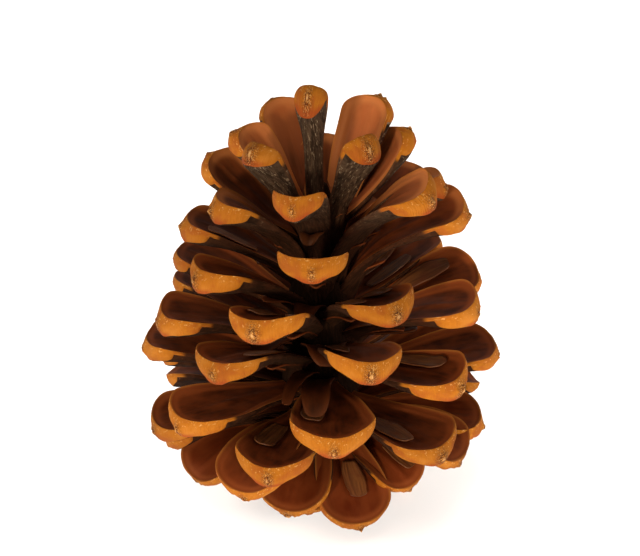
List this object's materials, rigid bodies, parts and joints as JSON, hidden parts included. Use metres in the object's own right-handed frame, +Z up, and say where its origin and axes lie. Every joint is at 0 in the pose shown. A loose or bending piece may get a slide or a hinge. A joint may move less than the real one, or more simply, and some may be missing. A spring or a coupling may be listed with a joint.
{
  "type": "pine cone",
  "caption": "Ripe, open pine cone standing on its base: woody scales on a spiral round the axis, with loose papery seed wings lying on some of them.",
  "frame": {"origin": "middle of the stalk scar, on the surface that the cone stands on", "axes": "+Z up along the cone's axis, -Y towards the front of the picture, +X to its right"},
  "size_m": [0.0884, 0.0887, 0.107],
  "materials": {
    "cone_wood": "dry woody scales, tan ends and dark red-brown inner faces, satin",
    "wing_paper": "thin papery seed wings, pale brown, satin"
  },
  "bodies": {
    "root": {"pine_cone": "cone_wood", "seed_wing_01": "wing_paper", "seed_wing_02": "wing_paper", "seed_wing_03": "wing_paper", "seed_wing_04": "wing_paper", "seed_wing_05": "wing_paper", "seed_wing_06": "wing_paper", "seed_wing_07": "wing_paper", "seed_wing_08": "wing_paper", "seed_wing_09": "wing_paper", "seed_wing_10": "wing_paper", "seed_wing_11": "wing_paper", "seed_wing_12": "wing_paper", "seed_wing_13": "wing_paper", "seed_wing_14": "wing_paper", "seed_wing_15": "wing_paper", "seed_wing_16": "wing_paper", "seed_wing_17": "wing_paper", "seed_wing_18": "wing_paper", "seed_wing_19": "wing_paper", "seed_wing_20": "wing_paper"}
  },
  "joints": []
}
